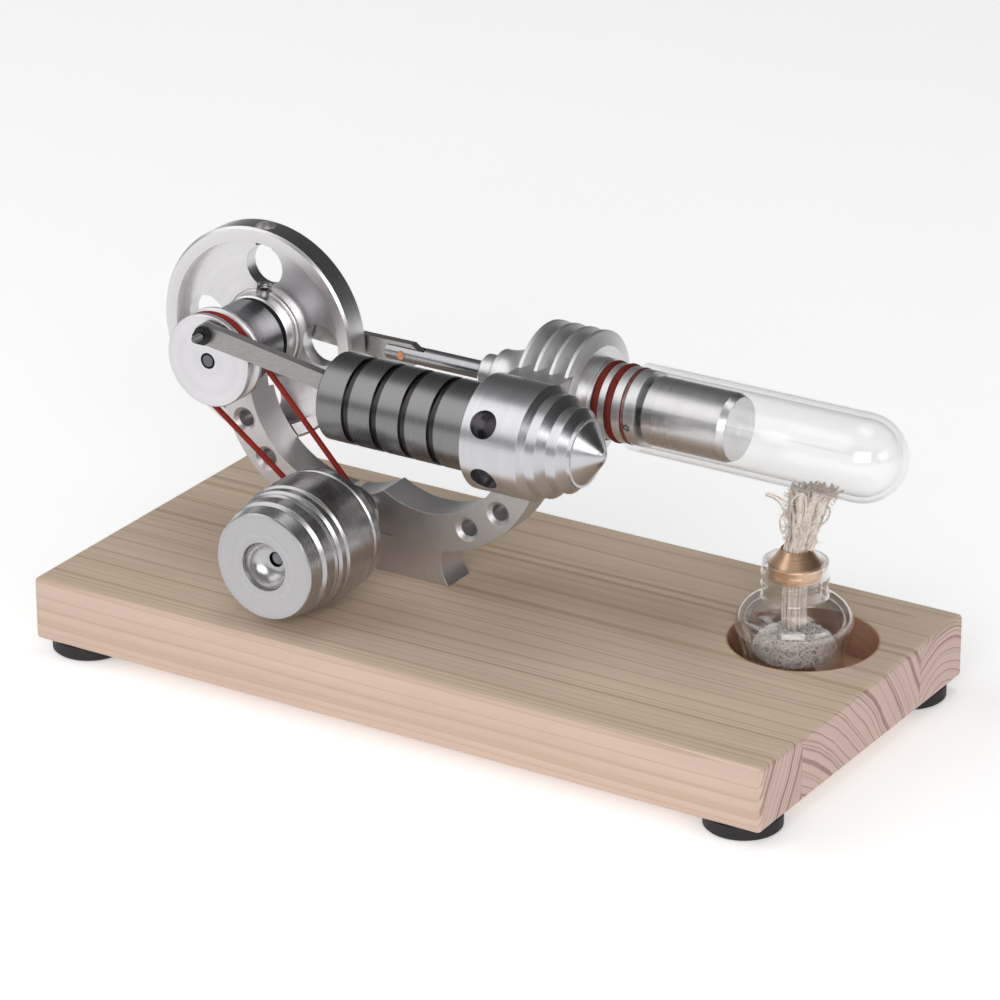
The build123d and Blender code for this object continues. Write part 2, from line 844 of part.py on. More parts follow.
def make_wick_holder():
    """Brass plug in the bottle's mouth, with a cone that grips the wick."""
    rim = neck_radius - lamp_wall
    return turned_z(
        [
            (rim - 0.5, holder_foot),
            (rim, holder_foot),
            (rim, holder_shoulder),
            (rim - 0.2, holder_shoulder + 0.2),
            (wick_radius + 0.35, holder_top),
            (wick_radius, holder_top),
            (wick_radius, holder_top - 0.6),
            (rim - 0.5, holder_shoulder - 0.3),
        ],
        lamp_x,
        hot_y,
    )


def make_wick():
    return turned_z(
        [
            (0, wick_foot),
            (wick_radius, wick_foot),
            (wick_radius, holder_top),
            (wick_radius + 0.4, holder_top + 1.0),
            (wick_radius + 1.6, wick_top - 2.5),
            (wick_radius + 1.2, wick_top),
            (0, wick_top),
        ],
        lamp_x,
        hot_y,
    )


def make_cotton():
    bottom = lamp_bottom + 2.1
    return turned_z(
        [
            (0, bottom),
            (7.5, bottom),
            (10.0, -4.5),
            (11.0, 0.0),
            (9.6, wick_foot - 0.4),
            (0, wick_foot),
        ],
        lamp_x,
        hot_y,
    )


parts["lamp_bottle"] = make_bottle()
parts["wick_holder"] = make_wick_holder()
parts["wick"] = make_wick()
parts["wick_cotton"] = make_cotton()

os.makedirs("parts", exist_ok=True)
for name, part in parts.items():
    export_step(part, f"parts/{name}.step")
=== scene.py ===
"""Materials, fine pieces, light and camera for the Stirling engine model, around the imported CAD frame."""

import math
import random

import bpy
from mathutils import Matrix, Vector, noise


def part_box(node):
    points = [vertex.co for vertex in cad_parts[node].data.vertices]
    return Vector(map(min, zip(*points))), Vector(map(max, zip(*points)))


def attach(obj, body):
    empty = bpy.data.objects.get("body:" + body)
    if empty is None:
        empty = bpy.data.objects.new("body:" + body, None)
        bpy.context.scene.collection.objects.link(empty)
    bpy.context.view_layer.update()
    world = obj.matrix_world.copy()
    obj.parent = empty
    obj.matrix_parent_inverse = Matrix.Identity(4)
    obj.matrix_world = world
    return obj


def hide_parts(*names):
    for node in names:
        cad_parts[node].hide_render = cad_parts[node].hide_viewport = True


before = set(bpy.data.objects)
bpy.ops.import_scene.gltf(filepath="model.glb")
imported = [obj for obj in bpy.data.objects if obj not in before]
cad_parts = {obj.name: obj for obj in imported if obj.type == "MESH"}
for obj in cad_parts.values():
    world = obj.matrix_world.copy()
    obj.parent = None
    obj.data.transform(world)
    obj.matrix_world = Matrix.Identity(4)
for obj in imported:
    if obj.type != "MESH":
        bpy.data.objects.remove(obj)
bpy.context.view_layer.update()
random.seed(11)

MM = 0.001


def middle(node):
    """Centre of a CAD node's box."""
    low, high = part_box(node)
    return (low + high) / 2


# Places that the materials and pieces are hung on, all from the CAD nodes.
board_low, board_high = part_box("base_board")
crank_axis = middle("flywheel")
power_axis = middle("power_cylinder")
hot_axis = middle("glass_tube")
drum_axis = middle("drum")
lamp_axis = middle("lamp_bottle")


# ---------------------------------------------------------------- node helpers


class Shader:
    """A node material under construction. Values may be numbers, colours or other nodes' outputs."""

    def __init__(self, name):
        self.material = bpy.data.materials.new(name)
        self.material.use_nodes = True
        self.tree = self.material.node_tree
        self.tree.nodes.clear()
        self.output = self.tree.nodes.new("ShaderNodeOutputMaterial")

    def node(self, kind, *values, **settings):
        made = self.tree.nodes.new("ShaderNode" + kind)
        for key, value in settings.items():
            setattr(made, key, value)
        for socket, value in zip(made.inputs, values):
            self.feed(socket, value)
        return made

    def feed(self, socket, value):
        if isinstance(value, bpy.types.NodeSocket):
            self.tree.links.new(value, socket)
        elif value is not None:
            socket.default_value = value

    def math(self, operation, *values):
        return self.node("Math", *values, operation=operation).outputs[0]

    def vector(self, operation, *values):
        made = self.node("VectorMath", *values, operation=operation)
        return made.outputs["Value" if operation in ("LENGTH", "DOT_PRODUCT") else "Vector"]

    def place(self):
        """Place on the object in millimetres, in the shared frame."""
        point = self.node("TexCoord").outputs["Object"]
        return self.vector("MULTIPLY", point, (1000, 1000, 1000))

    def split(self, vector):
        made = self.node("SeparateXYZ", vector)
        return made.outputs[0], made.outputs[1], made.outputs[2]

    def join(self, x, y, z):
        return self.node("CombineXYZ", x, y, z).outputs[0]

    def noise(self, vector, scale, detail=3.0, roughness=0.55, distortion=0.0):
        made = self.node("TexNoise", noise_dimensions="3D")
        for name, value in (
            ("Vector", vector),
            ("Scale", scale),
            ("Detail", detail),
            ("Roughness", roughness),
            ("Distortion", distortion),
        ):
            self.feed(made.inputs[name], value)
        return made.outputs[0]

    def spread(self, value, low, high, to_low=0.0, to_high=1.0):
        """Value from one range to another, held at its ends."""
        return self.node("MapRange", value, low, high, to_low, to_high).outputs[0]

    def ramp(self, factor, *stops):
        made = self.node("ValToRGB", factor)
        points = made.color_ramp.elements
        while len(points) < len(stops):
            points.new(0.5)
        for point, (place, colour) in zip(points, stops):
            point.position = place
            point.color = (*colour, 1.0)
        return made.outputs[0]

    def mix(self, factor, one, other, blend="MIX"):
        made = self.node("Mix", data_type="RGBA", blend_type=blend)
        self.feed(made.inputs[0], factor)
        for socket, value in ((made.inputs[6], one), (made.inputs[7], other)):
            self.feed(socket, (*value, 1.0) if isinstance(value, tuple) and len(value) == 3 else value)
        return made.outputs[2]

    def bump(self, height, strength, distance, normal=None):
        made = self.node("Bump")
        for name, value in (("Strength", strength), ("Distance", distance), ("Height", height), ("Normal", normal)):
            self.feed(made.inputs[name], value)
        return made.outputs[0]

    def rounded(self, radius):
        """Normal with every sharp edge rounded over a small radius, in millimetres."""
        return self.node("Bevel", radius * MM, samples=4).outputs[0]

    def finish(self, **inputs):
        """Principled surface; input names have _ for a space."""
        surface = self.node("BsdfPrincipled")
        for name, value in inputs.items():
            socket = surface.inputs[name.replace("_", " ")]
            if socket.type == "RGBA" and isinstance(value, tuple):
                value = (*value, 1.0)
            self.feed(socket, value)
        self.tree.links.new(surface.outputs[0], self.output.inputs[0])
        return self.material


# ---------------------------------------------------------------- metals


def around(shader, centre, axis):
    """Distance from a line through centre along axis (0, 1 or 2), and place along it, in millimetres."""
    parts = list(shader.split(shader.vector("SUBTRACT", shader.place(), tuple(c * 1000 for c in centre))))
    along = parts.pop(axis)
    squares = [shader.math("MULTIPLY", p, p) for p in parts]
    return shader.math("SQRT", shader.math("ADD", *squares)), along


def turned_metal(name, centre, axis, colour, rough, line=0.16, depth=0.002, grip=0.55, edge=0.14, streak=0.05, bore_shade=0.0):
    """Metal turned on a lathe: fine rings round its own axis, and slow bands of tone between tool passes.

    Inside the given radius, in millimetres, it is painted black: painted shade of the hollow round a shaft's end.
    """
    shader = Shader(name)
    distance, along = around(shader, centre, axis)
    rings = shader.join(distance, along, 0.0)
    fine = shader.noise(rings, 1 / line, 2.0, 0.6)
    bands = shader.noise(rings, 0.45, 2.0, 0.5)
    smudge = shader.noise(shader.place(), 0.07, 3.0, 0.6)
    tone = shader.mix(shader.spread(bands, 0.3, 0.7, 0.0, 1.0), tuple(0.92 * c for c in colour), colour)
    tone = shader.mix(shader.spread(fine, 0.2, 0.8, 0.0, streak), tone, tuple(0.5 * c for c in colour))
    if bore_shade:
        # Painted shade: black inside the given radius, standing in for the shaded counterbore round the shaft's end.
        tone = shader.mix(shader.spread(distance, bore_shade - 0.05, bore_shade, 1.0, 0.0), tone, (0.012, 0.012, 0.013))
    roughness = shader.math("ADD", shader.spread(fine, 0.2, 0.8, rough - 0.04, rough + 0.04),
                            shader.spread(smudge, 0.35, 0.75, 0.0, 0.06))
    tangent = shader.node("Tangent", direction_type="RADIAL", axis="XYZ"[axis]).outputs[0]
    return shader.finish(
        Base_Color=tone,
        Metallic=1.0,
        Roughness=roughness,
        Anisotropic=grip,
        Tangent=tangent,
        Normal=shader.bump(fine, 0.3, depth * MM, shader.rounded(edge)),
    )


def blasted_metal(name, colour):
    """Bead-blasted aluminium: an even, fine pitted matt skin."""
    shader = Shader(name)
    place = shader.place()
    pits = shader.noise(place, 5.5, 3.0, 0.65)
    cloud = shader.noise(place, 0.12, 3.0, 0.6)
    tone = shader.mix(shader.spread(pits, 0.35, 0.65), tuple(0.80 * c for c in colour), colour)
    tone = shader.mix(shader.spread(cloud, 0.35, 0.7, 0.0, 0.25), tone, tuple(0.82 * c for c in colour))
    return shader.finish(
        Base_Color=tone,
        Metallic=1.0,
        Roughness=shader.spread(cloud, 0.3, 0.7, 0.42, 0.5),
        Normal=shader.bump(pits, 0.55, 0.03 * MM, shader.rounded(0.3)),
    )


def brushed_metal(name, stretch, colour, rough, edge=0.12):
    """Ground flat metal: scratches run along the axis where stretch is smallest."""
    shader = Shader(name)
    place = shader.vector("MULTIPLY", shader.place(), stretch)
    scratch = shader.noise(place, 4.0, 4.0, 0.65)
    cloud = shader.noise(shader.place(), 0.25, 3.0, 0.6)
    tone = shader.mix(shader.spread(scratch, 0.3, 0.7), tuple(0.72 * c for c in colour), colour)
    return shader.finish(
        Base_Color=tone,
        Metallic=1.0,
        Roughness=shader.math("ADD", shader.spread(scratch, 0.3, 0.7, rough, rough + 0.12),
                              shader.spread(cloud, 0.4, 0.7, 0.0, 0.06)),
        Normal=shader.bump(scratch, 0.5, 0.012 * MM, shader.rounded(edge)),
    )


def dark_cylinder_metal(name, centre):
    """Ground dark steel, with painted shade: nearly black in the bottoms of its cut rings and along its length inside
    the head.
    """
    shader = Shader(name)
    distance, along = around(shader, centre, 0)
    rings = shader.join(shader.math("MULTIPLY", distance, 0.3), along, 0.0)
    fine = shader.noise(rings, 5.0, 3.0, 0.65)
    cloud = shader.noise(shader.place(), 0.18, 3.0, 0.6)
    skin = shader.mix(shader.spread(fine, 0.3, 0.7), (0.215, 0.21, 0.215), (0.26, 0.255, 0.26))
    skin = shader.mix(shader.spread(cloud, 0.4, 0.7, 0.0, 0.4), skin, (0.22, 0.215, 0.215))
    radius = (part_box("power_cylinder")[1].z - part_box("power_cylinder")[0].z) * 500
    # Painted shade: the groove bottoms and the length inside the head are painted nearly black.
    groove_shade = shader.spread(distance, radius - 0.4, radius - 0.15, 1.0, 0.0)
    head_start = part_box("power_cylinder_head")[0].x * 1000 - centre.x * 1000
    in_shade = shader.math("MAXIMUM", groove_shade, shader.spread(along, head_start, head_start + 0.3))
    tangent = shader.node("Tangent", direction_type="RADIAL", axis="X").outputs[0]
    return shader.finish(
        Base_Color=shader.mix(in_shade, skin, (0.055, 0.05, 0.055)),
        Metallic=1.0,
        Roughness=shader.spread(fine, 0.2, 0.8, 0.2, 0.32),
        Anisotropic=0.5,
        Tangent=tangent,
        Normal=shader.bump(fine, 0.3, 0.002 * MM, shader.rounded(0.12)),
    )


# ---------------------------------------------------------------- wood


def board_wood():
    """Glued pine strips: growth rings cut by the board's faces, so every face shows its own figure."""
    shader = Shader("pine_board")
    x, y, z = shader.split(shader.vector("SUBTRACT", shader.place(), tuple(
        c * 1000 for c in (board_low.x, board_low.y, board_high.z))))
    wander = shader.join(shader.math("MULTIPLY", x, 0.007), shader.math("MULTIPLY", y, 0.07),
                         shader.math("MULTIPLY", z, 0.07))
    drift = shader.math("MULTIPLY", shader.math("SUBTRACT", shader.noise(wander, 1.0, 1.5, 0.5), 0.5), 2.4)

    def rings(pith_y, pith_z, spacing, seed):
        """Place within a growth ring, 0 to 1, about a pith line along X."""
        dy = shader.math("SUBTRACT", y, pith_y)
        dz = shader.math("SUBTRACT", z, pith_z)
        squares = shader.math("ADD", shader.math("MULTIPLY", dy, dy), shader.math("MULTIPLY", dz, dz))
        radius = shader.math("ADD", shader.math("SQRT", squares), drift)
        uneven = shader.node("TexNoise", noise_dimensions="1D")
        shader.feed(uneven.inputs["W"], shader.math("ADD", shader.math("MULTIPLY", radius, 0.13), seed))
        uneven.inputs["Detail"].default_value = 0.0
        count = shader.math("DIVIDE", radius, spacing)
        shifted = shader.math("ADD", count, shader.math("MULTIPLY", uneven.outputs[0], 1.3))
        return shader.math("FRACT", shifted)

    first_joint, second_joint = 19.2, 76.6
    past_first = shader.math("GREATER_THAN", y, first_joint)
    past_second = shader.math("GREATER_THAN", y, second_joint)
    ring = shader.node("Mix", past_second, data_type="FLOAT")
    inner = shader.node("Mix", past_first, data_type="FLOAT")
    shader.feed(inner.inputs[2], rings(-60.0, 32.0, 1.75, 3.0))
    shader.feed(inner.inputs[3], rings(-0.4, -51.8, 3.1, 9.0))
    shader.feed(ring.inputs[2], inner.outputs[0])
    shader.feed(ring.inputs[3], rings(88.0, -26.0, 2.4, 21.0))
    late = shader.ramp(ring.outputs[0], (0.0, (0.0,) * 3), (0.45, (0.04,) * 3), (0.76, (0.25,) * 3),
                       (0.87, (0.95,) * 3), (0.95, (1.0,) * 3), (1.0, (0.0,) * 3))

    fibre_place = shader.join(shader.math("MULTIPLY", x, 0.06), shader.math("MULTIPLY", y, 3.2),
                              shader.math("MULTIPLY", z, 3.2))
    fibre = shader.noise(fibre_place, 1.0, 4.0, 0.7)
    pores = shader.noise(shader.place(), 4.5, 3.0, 0.7)
    streak_place = shader.join(shader.math("MULTIPLY", x, 0.010), shader.math("MULTIPLY", y, 0.16),
                               shader.math("MULTIPLY", z, 0.16))
    streak = shader.noise(streak_place, 1.0, 2.0, 0.6)
    gold_place = shader.join(shader.math("MULTIPLY", x, 0.006), shader.math("MULTIPLY", y, 0.11),
                             shader.math("MULTIPLY", z, 0.11))
    gold = shader.spread(shader.noise(gold_place, 1.0, 1.0, 0.5), 0.52, 0.62)

    normal_x, normal_y, normal_z = shader.split(shader.node("NewGeometry").outputs["Normal"])
    on_top = shader.spread(normal_z, 0.55, 0.8)
    on_end = shader.spread(shader.math("ABSOLUTE", normal_x), 0.6, 0.8)
    side_tone = shader.mix(shader.spread(streak, 0.35, 0.7), (0.565, 0.42, 0.345), (0.625, 0.48, 0.39))
    side_tone = shader.mix(on_end, side_tone, (0.66, 0.49, 0.43))
    top_tone = shader.mix(shader.spread(streak, 0.35, 0.7), (0.665, 0.525, 0.405), (0.75, 0.605, 0.465))
    base = shader.mix(on_top, side_tone, top_tone)
    grain = shader.mix(on_end, shader.spread(fibre, 0.3, 0.75), shader.spread(pores, 0.35, 0.75))
    grain_tone = shader.mix(on_top, (0.47, 0.33, 0.26), (0.43, 0.325, 0.24))
    base = shader.mix(shader.math("MULTIPLY", grain, 0.30), base, grain_tone)
    side_line = shader.mix(on_end, (0.40, 0.245, 0.165), (0.25, 0.14, 0.115))
    top_line = shader.mix(gold, (0.37, 0.24, 0.155), (0.44, 0.25, 0.11))
    line_tone = shader.mix(on_top, side_line, top_line)
    strength = shader.mix(on_end, shader.mix(on_top, (0.42,) * 3, (0.62,) * 3), (0.92,) * 3)
    share = shader.math("MULTIPLY", shader.math("MULTIPLY", late, strength),
                        shader.spread(streak, 0.25, 0.75, 0.65, 1.0))
    base = shader.mix(share, base, line_tone)
    to_joint = shader.math("MINIMUM", shader.math("ABSOLUTE", shader.math("SUBTRACT", y, first_joint)),
                           shader.math("ABSOLUTE", shader.math("SUBTRACT", y, second_joint)))
    base = shader.mix(shader.spread(to_joint, 0.03, 0.16, 0.5, 0.0), base, line_tone)
    # Painted shade: the lamp's recess is made darker and browner, as shade and light bounced in the hollow make it;
    # part of it is the end grain's own deeper tone.
    recess_middle = (lamp_axis.x + 2.4 * MM, lamp_axis.y, 0.0)
    from_recess, _ = around(shader, recess_middle, 2)
    recess_shade = shader.spread(from_recess, 17.9, 18.3, 0.75, 0.0)
    base = shader.mix(recess_shade, base, (0.72, 0.47, 0.33), "MULTIPLY")
    height = shader.math("ADD", shader.math("MULTIPLY", fibre, 0.7), shader.math("MULTIPLY", late, -0.3))
    return shader.finish(
        Base_Color=base,
        Roughness=shader.spread(fibre, 0.3, 0.7, 0.45, 0.62),
        Specular_IOR_Level=0.3,
        Normal=shader.bump(height, 0.3, 0.06 * MM, shader.rounded(0.8)),
    )


# ---------------------------------------------------------------- rubber, silicone, glass, cotton


def rubber(name, colour, rough, grain, shine=0.4):
    shader = Shader(name)
    place = shader.place()
    speckle = shader.noise(place, grain, 3.0, 0.6)
    cloud = shader.noise(place, 0.4, 3.0, 0.6)
    tone = shader.mix(shader.spread(cloud, 0.35, 0.7), tuple(0.7 * c for c in colour), colour)
    return shader.finish(
        Base_Color=tone,
        Roughness=shader.spread(speckle, 0.3, 0.7, rough - 0.08, rough + 0.1),
        Specular_IOR_Level=shine,
        Normal=shader.bump(speckle, 0.4, 0.02 * MM, shader.rounded(0.3)),
    )


def clear_glass(name, tint, steep):
    """Thin clear glass: see-through face on, and more and more a mirror towards its edges, with faint waves."""
    shader = Shader(name)
    waves = shader.noise(shader.place(), 0.18, 2.0, 0.5)
    normal = shader.bump(waves, 0.15, 0.05 * MM)
    edge = shader.node("LayerWeight", 0.5, normal).outputs["Facing"]
    mirror = shader.math("MULTIPLY_ADD", shader.math("POWER", edge, steep), 0.9)
    mirror.node.inputs[2].default_value = 0.045
    return shader.finish(Base_Color=tint, Metallic=1.0, Roughness=0.02, Alpha=mirror, Normal=normal)


def cotton_yarn(name, dark, light):
    shader = Shader(name)
    place = shader.place()
    fuzz = shader.noise(place, 7.0, 3.0, 0.7)
    cloud = shader.noise(place, 0.5, 2.0, 0.6)
    tone = shader.mix(shader.spread(cloud, 0.3, 0.7), dark, light)
    tone = shader.mix(shader.spread(fuzz, 0.35, 0.8, 0.0, 0.3), tone, (0.50, 0.40, 0.33))
    return shader.finish(
        Base_Color=tone,
        Roughness=0.9,
        Sheen_Weight=0.3,
        Subsurface_Weight=0.1,
        Subsurface_Scale=0.0006,
        Normal=shader.bump(fuzz, 0.6, 0.08 * MM),
    )


# ---------------------------------------------------------------- meshes


def mesh_object(name, verts, faces, smooth=True):
    mesh = bpy.data.meshes.new(name)
    mesh.from_pydata([tuple(v) for v in verts], [], faces)
    mesh.validate()
    mesh.update()
    for polygon in mesh.polygons:
        polygon.use_smooth = smooth
    made = bpy.data.objects.new(name, mesh)
    bpy.context.scene.collection.objects.link(made)
    return made


def frames_along(points):
    """Tangent, side and up at each point of a line, with no twist between them."""
    tangents = []
    for i, point in enumerate(points):
        ahead = points[min(i + 1, len(points) - 1)]
        behind = points[max(i - 1, 0)]
        tangents.append((ahead - behind).normalized())
    side = tangents[0].orthogonal().normalized()
    frames = []
    for tangent in tangents:
        side = (side - tangent * side.dot(tangent)).normalized()
        frames.append((tangent, side, tangent.cross(side)))
    return frames


def tubes(name, lines, around_count=6, verts=(), faces=()):
    """One mesh of many capped tubes, added to a first mesh: each line is (points, radii)."""
    verts, faces = list(verts), list(faces)
    for points, radii in lines:
        base = len(verts)
        for point, radius, (_, side, up) in zip(points, radii, frames_along(points)):
            for k in range(around_count):
                turn = 2 * math.pi * k / around_count
                verts.append(point + radius * (math.cos(turn) * side + math.sin(turn) * up))
        rows = len(points)
        for row in range(rows - 1):
            for k in range(around_count):
                a = base + row * around_count + k
                b = base + row * around_count + (k + 1) % around_count
                faces.append((a, b, b + around_count, a + around_count))
        faces.append(tuple(base + k for k in reversed(range(around_count))))
        faces.append(tuple(base + (rows - 1) * around_count + k for k in range(around_count)))
    return mesh_object(name, verts, faces)


def place_piece(piece, body, node, material):
    piece.data.materials.clear()
    piece.data.materials.append(material)
    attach(piece, body)
    if node:
        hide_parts(node)
    return piece


# ---------------------------------------------------------------- wick and cotton


def wandering_line(start, heading, length, step, sway, seed, pull=None):
    """A limp strand: points a step apart, its heading turned a little at each by smooth noise."""
    points, heading = [Vector(start)], Vector(heading).normalized()
    for i in range(max(3, int(length / step))):
        at = points[-1] * 420 + Vector((seed, seed * 1.7, -seed))
        turn = noise.noise_vector(at) * sway
        heading = (heading + turn).normalized()
        if pull:
            heading = (heading + pull(points[-1])).normalized()
        points.append(points[-1] + heading * step)
    return points


def spline(points, count):
    """Points evenly placed by number along a smooth line through the given ones."""
    line = [points[0], *points, points[-1]]
    made = []
    for i in range(count + 1):
        t = i / count * (len(points) - 1)
        k = min(int(t), len(points) - 2)
        u = t - k
        a, b, c, d = line[k:k + 4]
        made.append(0.5 * (2 * b + (c - a) * u + (2 * a - 5 * b + 4 * c - d) * u ** 2 + (3 * b - a - 3 * c + d) * u ** 3))
    return made


def plied(points, radius, turns, plies=3):
    """A cord of a few plies wound round each other along a line."""
    frames = frames_along(points)
    lines = []
    for ply in range(plies):
        wound = []
        for i, (point, (_, side, up)) in enumerate(zip(points, frames)):
            angle = 2 * math.pi * (ply / plies + turns * i / len(points))
            wound.append(point + radius * 0.55 * (math.cos(angle) * side + math.sin(angle) * up))
        lines.append((wound, [radius * 0.58] * len(wound)))
    return lines


def make_wick(material):
    """A loose bundle of cotton yarns out of the holder, leaning and opening upward, with loops and a soft fuzz."""
    low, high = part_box("wick")
    centre = (low + high) / 2
    top = high.z
    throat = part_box("wick_holder")[1].z
    bottom = low.z + 0.2 * MM
    tube_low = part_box("glass_tube")[0].z
    tube_radius = (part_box("glass_tube")[1].z - tube_low) / 2
    right = Vector((0.85, 0.53, 0.0))
    near = Vector((0.53, -0.85, 0.0))

    def spot(across, towards, height):
        """Place from the wick's axis at the holder's top: to the right, to the front, and up, in millimetres."""
        return Vector((centre.x, centre.y, throat)) + (right * across + near * towards + Vector((0, 0, height))) * MM

    def clear(point):
        """The point, kept under the glass tube."""
        off = point.y - hot_axis.y
        room = tube_radius + 0.35 * MM
        if abs(off) >= room:
            return point
        ceiling = hot_axis.z - math.sqrt(room * room - off * off)
        return Vector((point.x, point.y, min(point.z, ceiling)))

    lines = []
    rise = (top - throat) / MM
    yarn_count = 54
    for k in range(yarn_count):
        share = math.sqrt((k + 0.5) / yarn_count)
        turn = k * 2.39996
        points, steps = [], 30
        for i in range(steps + 1):
            z = bottom + (top - bottom) * i / steps
            above = max(0.0, (z - throat) / (top - throat))
            wide = (2.85 + 2.7 * above ** 1.4) * share
            deep = (2.7 + 1.0 * above) * share
            angle = turn + 0.8 * above
            wobble = noise.noise_vector(Vector((k * 3.1, 0, z * 300))) * (0.15 + 0.8 * above)
            across = wide * math.cos(angle) + min(1.2, 5.0 * above) + 2.4 * above ** 1.5 + wobble.x
            towards = deep * math.sin(angle) + wobble.y
            points.append(clear(spot(across, towards, (z - throat) / MM)))
        radii = [(0.36 + 0.10 * noise.noise(Vector((k, i * 0.3, 0)))) * MM for i in range(steps + 1)]
        lines.append((points, radii))

    # Thicker cords that wind over the front of the bundle.
    for across, lean, seed in ((-1.2, 1.6, 1.0), (0.6, 2.6, 4.0), (1.9, 3.2, 8.0), (2.4, 1.2, 13.0), (-0.3, 3.4, 19.0)):
        knots = []
        for i in range(7):
            above = i / 6
            sway = 1.3 * noise.noise(Vector((seed, i * 0.8, 0)))
            knots.append(clear(spot(across * (1 + 0.5 * above) + 0.9 + lean * above ** 1.3 + sway,
                                    2.2 + 1.3 * above + 0.6 * sway, 0.6 + rise * above * 0.97)))
        lines += plied(spline(knots, 44), 0.62 * MM, 4.0)

    # Loops and loose ends: each is a run of places to the right, to the front and up from the bottle's lip.
    lip = 1.3
    loops = (
        ((-2.2, 1.5, 9.5), (-3.9, 1.5, 13.0), (-5.6, 1.2, 14.5), (-7.2, 1.0, 15.0), (-6.6, 1.4, 15.7),
         (-4.6, 1.8, 15.0), (-2.0, 2.2, 13.2)),
        ((-2.0, 1.0, 10.8), (-3.3, 0.8, 10.2), (-3.9, 0.6, 8.4), (-3.7, 0.6, 6.4), (-3.1, 0.8, 5.4), (-2.6, 1.2, 6.8)),
        ((3.6, 2.0, 8.6), (5.6, 2.2, 8.2), (7.2, 2.0, 10.0), (7.4, 1.6, 12.0), (6.0, 1.5, 13.0)),
        ((4.8, 1.5, 14.2), (7.0, 1.2, 14.4), (9.2, 1.0, 15.4), (10.6, 0.8, 16.2)),
        ((4.6, 4.2, 15.0), (5.4, 5.4, 17.2), (6.8, 5.6, 18.2), (8.0, 5.2, 17.2), (7.6, 4.4, 15.4)),
        ((5.4, 4.0, 14.6), (6.4, 5.4, 16.4), (7.4, 5.6, 17.4), (8.8, 4.6, 16.0), (8.2, 3.4, 14.4)),
        ((-1.6, 3.6, 14.6), (-0.6, 4.6, 16.4), (0.6, 4.8, 17.0), (2.0, 4.2, 15.8)),
    )
    for loop in loops:
        knots = [clear(spot(across, towards, up - lip)) for across, towards, up in loop]
        lines += plied([clear(point) for point in spline(knots, 40)], 0.26 * MM, 5.0, 2)

    # Fuzz.
    for k in range(420):
        above = random.random()
        turn = random.random() * 2 * math.pi
        across = (2.9 + 2.6 * above ** 1.3) * math.cos(turn) + 1.0 + 2.4 * above ** 1.5
        towards = (2.6 + 1.2 * above) * math.sin(turn)
        start = clear(spot(across * 0.92, towards * 0.92, 0.8 + (rise - 1.6) * above))
        heading = right * math.cos(turn) + near * math.sin(turn) + Vector((0, 0, random.random() * 1.6 - 0.6))
        points = wandering_line(start, heading, (0.9 + 2.0 * random.random()) * MM, 0.22 * MM, 0.6, 7.3 * k)
        lines.append(([clear(point) for point in points], [0.055 * MM] * len(points)))
    wick = tubes("wick_yarns", lines, 6)
    return place_piece(wick, "lamp", "wick", material)


def lumpy(name, centre, half, swell, seed):
    """Closed soft lump: a ball stretched to half sizes, its skin moved in and out by smooth noise."""
    verts, faces = [], []
    rows, columns = 28, 44
    for i in range(rows + 1):
        lat = math.pi * i / rows
        for k in range(columns):
            lon = 2 * math.pi * k / columns
            out = Vector((math.sin(lat) * math.cos(lon), math.sin(lat) * math.sin(lon), math.cos(lat)))
            reach = 1 - swell + swell * (noise.noise(out * 2.3 + Vector((seed, 0, 0)))
                                         + 0.5 * noise.noise(out * 6.0 + Vector((0, seed, 0))))
            verts.append(centre + Vector((out.x * half.x, out.y * half.y, out.z * half.z)) * reach)
    for i in range(rows):
        for k in range(columns):
            a, b = i * columns + k, i * columns + (k + 1) % columns
            faces.append((a, a + columns, b + columns, b))
    return verts, faces


def make_cotton(material):
    """Loose cotton packed into the lower half of the bottle: a soft lump under crimped strands."""
    low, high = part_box("wick_cotton")
    centre = (low + high) / 2
    half = (high - low) / 2
    lines = []

    def inward(point):
        away = Vector(((point.x - centre.x) / half.x, (point.y - centre.y) / half.y, (point.z - centre.z) / half.z))
        limit = 0.9 - 0.25 * max(0.0, -away.z)
        if away.length < limit:
            return Vector((0, 0, 0))
        return Vector((-away.x, -away.y, -away.z)) * 1.4

    strands = 900
    for k in range(strands):
        turn = k * 2.39996
        height = 1 - 2 * (k + 0.5) / strands
        ring = math.sqrt(1 - height * height)
        depth = (0.62 + 0.32 * random.random()) * (1 - 0.15 * max(0.0, -height))
        start = centre + Vector((half.x * ring * math.cos(turn), half.y * ring * math.sin(turn), half.z * height)) * depth
        heading = Vector((-math.sin(turn), math.cos(turn), 0.9 * (random.random() - 0.5)))
        points = wandering_line(start, heading, (5 + 6 * random.random()) * MM, 0.4 * MM, 0.85, 3.7 * k, inward)
        radii = [(0.05 + 0.07 * random.random()) * MM] * len(points)
        lines.append((points, radii))
    verts, faces = lumpy("cotton_core", centre, half * 0.72, 0.34, 5.0)
    cotton = tubes("cotton_filling", lines, 5, verts, faces)
    return place_piece(cotton, "lamp", "wick_cotton", material)


# ---------------------------------------------------------------- bottle and threaded pin


def lathe(name, outline, steps, shape=None):
    """Mesh turned about Z from (radius, height) points; shape(radius, height, angle) may move a point out or in."""
    verts, faces = [], []
    for radius, height in outline:
        for k in range(steps):
            angle = 2 * math.pi * k / steps
            r = shape(radius, height, angle) if shape else radius
            verts.append(Vector((r * math.cos(angle), r * math.sin(angle), height)) * MM)
    for row in range(len(outline) - 1):
        for k in range(steps):
            a, b = row * steps + k, row * steps + (k + 1) % steps
            faces.append((a, b, b + steps, a + steps))
    return verts, faces


